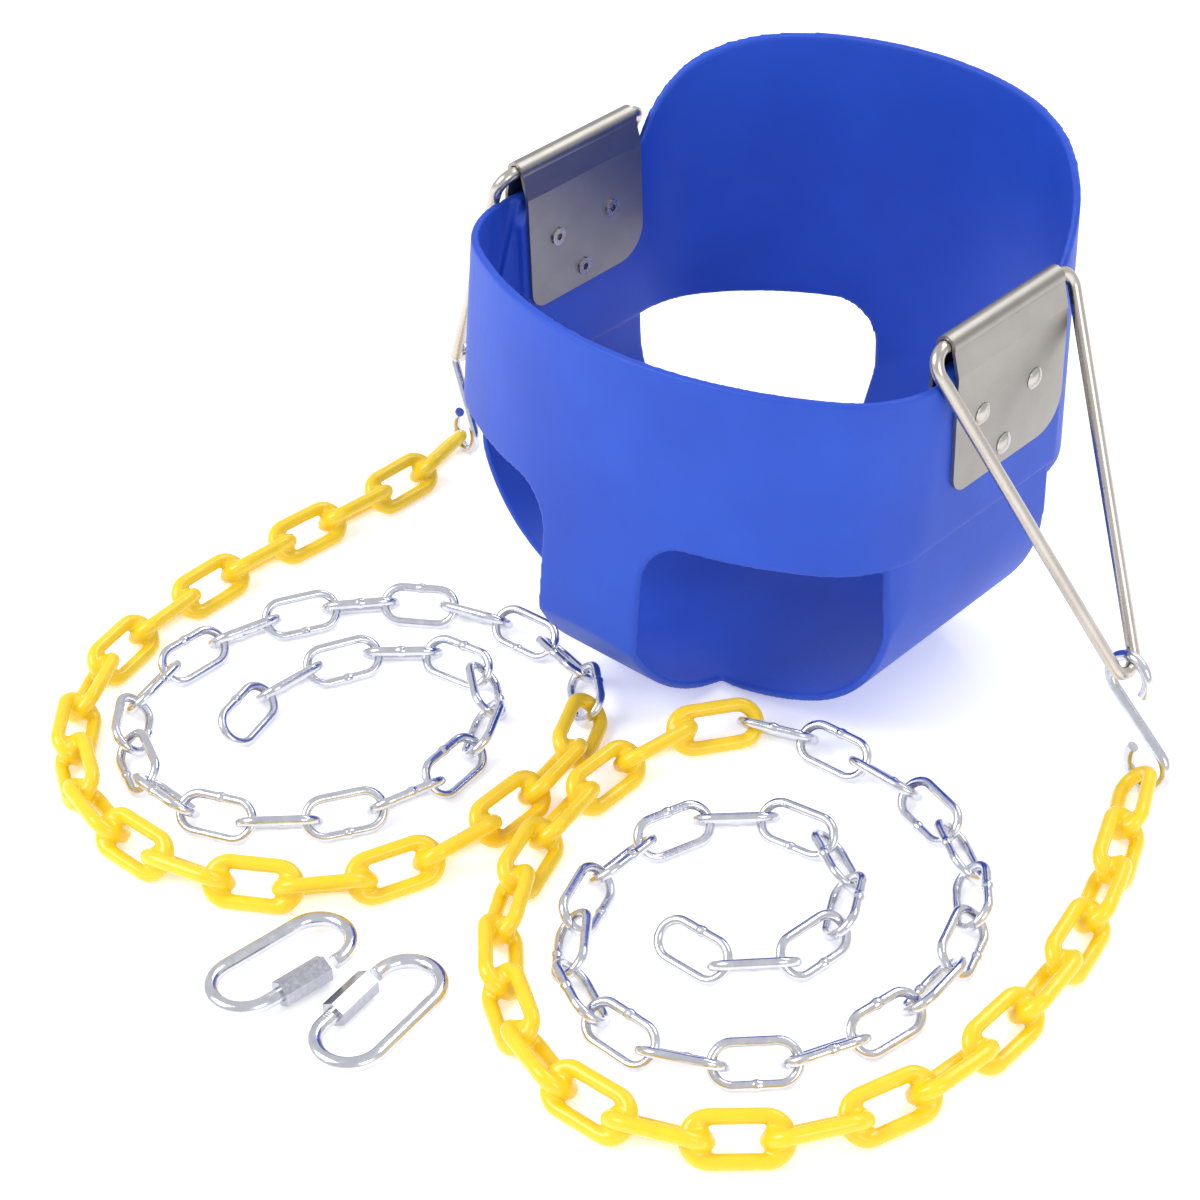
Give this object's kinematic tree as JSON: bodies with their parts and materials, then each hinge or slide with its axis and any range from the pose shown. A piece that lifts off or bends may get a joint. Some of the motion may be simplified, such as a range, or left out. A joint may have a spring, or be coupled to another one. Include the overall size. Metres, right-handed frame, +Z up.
{
  "type": "toddler bucket swing set",
  "caption": "High-back toddler bucket swing seat with steel brackets, wire triangle hangers, S-hooks, coated chains and screw quick links.",
  "frame": {"origin": "on the floor, midway between the two hanger rods", "axes": "+X towards the child's left, +Y towards the high back, +Z up"},
  "size_m": [0.5833, 0.5875, 0.2799],
  "materials": {
    "eva": "soft satin",
    "stainless": "satin",
    "wire": "bright drawn",
    "zinc": "bright zinc plated",
    "coating": "semi gloss"
  },
  "bodies": {
    "seat": {"seat_front": "eva", "seat_cradle": "eva", "seat_back": "eva", "bracket_left": "stainless", "bracket_right": "stainless", "rivets_left": "stainless", "rivets_right": "stainless"},
    "hanger_left": {"hanger_left": "wire"},
    "hanger_right": {"hanger_right": "wire"},
    "s_hook_left": {"s_hook_left": "zinc"},
    "s_hook_right": {"s_hook_right": "zinc"},
    "coated_chain_left": {"coated_links_left_1": "coating", "coated_links_left_2": "coating", "coated_links_left_3": "coating"},
    "bare_chain_left": {"bare_links_left_1": "zinc", "bare_links_left_2": "zinc", "bare_links_left_3": "zinc", "end_link_left": "zinc"},
    "coated_chain_right": {"coated_links_right_1": "coating", "coated_links_right_2": "coating", "coated_links_right_3": "coating"},
    "bare_chain_right": {"bare_links_right_1": "zinc", "bare_links_right_2": "zinc", "bare_links_right_3": "zinc", "end_link_right": "zinc"},
    "quick_link_1": {"quick_link_1": "zinc"},
    "quick_nut_1": {"quick_nut_1": "zinc"},
    "quick_link_2": {"quick_link_2": "zinc"},
    "quick_nut_2": {"quick_nut_2": "zinc"}
  },
  "joints": [
    {"name": "hanger_left_swing", "type": "hinge", "parent": "seat", "child": "hanger_left", "pos_m": [0.145, 0, 0.24], "axis": [0, -1, 0], "range_deg": [0, 163]},
    {"name": "hanger_right_swing", "type": "hinge", "parent": "seat", "child": "hanger_right", "pos_m": [-0.145, 0, 0.24], "axis": [0, 1, 0], "range_deg": [0, 160]},
    {"name": "s_hook_left_swing", "type": "hinge", "parent": "hanger_left", "child": "s_hook_left", "pos_m": [0.23625, 0, 0.06091], "axis": [0, -1, 0], "range_deg": [0, 2]},
    {"name": "s_hook_right_swing", "type": "hinge", "parent": "hanger_right", "child": "s_hook_right", "pos_m": [-0.2455, 0, 0.06593], "axis": [0, 1, 0], "range_deg": [0, 2]},
    {"name": "coated_chain_left_turn", "type": "hinge", "parent": "seat", "child": "coated_chain_left", "pos_m": [0.2578, -0.0078, 0.011], "axis": [0, 0, 1], "range_deg": [0, 5]},
    {"name": "bare_chain_left_turn", "type": "hinge", "parent": "coated_chain_left", "child": "bare_chain_left", "pos_m": [0.0745, -0.1097, 0.01], "axis": [0, 0, 1], "range_deg": [-2, 2]},
    {"name": "coated_chain_right_turn", "type": "hinge", "parent": "seat", "child": "coated_chain_right", "pos_m": [-0.2423, -0.0055, 0.011], "axis": [0, 0, -1], "range_deg": [0, 5]},
    {"name": "bare_chain_right_turn", "type": "hinge", "parent": "coated_chain_right", "child": "bare_chain_right", "pos_m": [0.0033, -0.1577, 0.01], "axis": [0, 0, 1], "range_deg": [-2, 2]},
    {"name": "quick_link_1_lift", "type": "slide", "parent": "seat", "child": "quick_link_1", "axis": [0, 0, 1], "range_m": [0, 0.06]},
    {"name": "quick_nut_1_screw", "type": "slide", "parent": "quick_link_1", "child": "quick_nut_1", "axis": [0.1045, 0.9945, 0], "range_m": [0, 0.007]},
    {"name": "quick_link_2_lift", "type": "slide", "parent": "seat", "child": "quick_link_2", "axis": [0, 0, 1], "range_m": [0, 0.06]},
    {"name": "quick_nut_2_screw", "type": "slide", "parent": "quick_link_2", "child": "quick_nut_2", "axis": [-0.1392, 0.9903, 0], "range_m": [0, 0.007]}
  ]
}
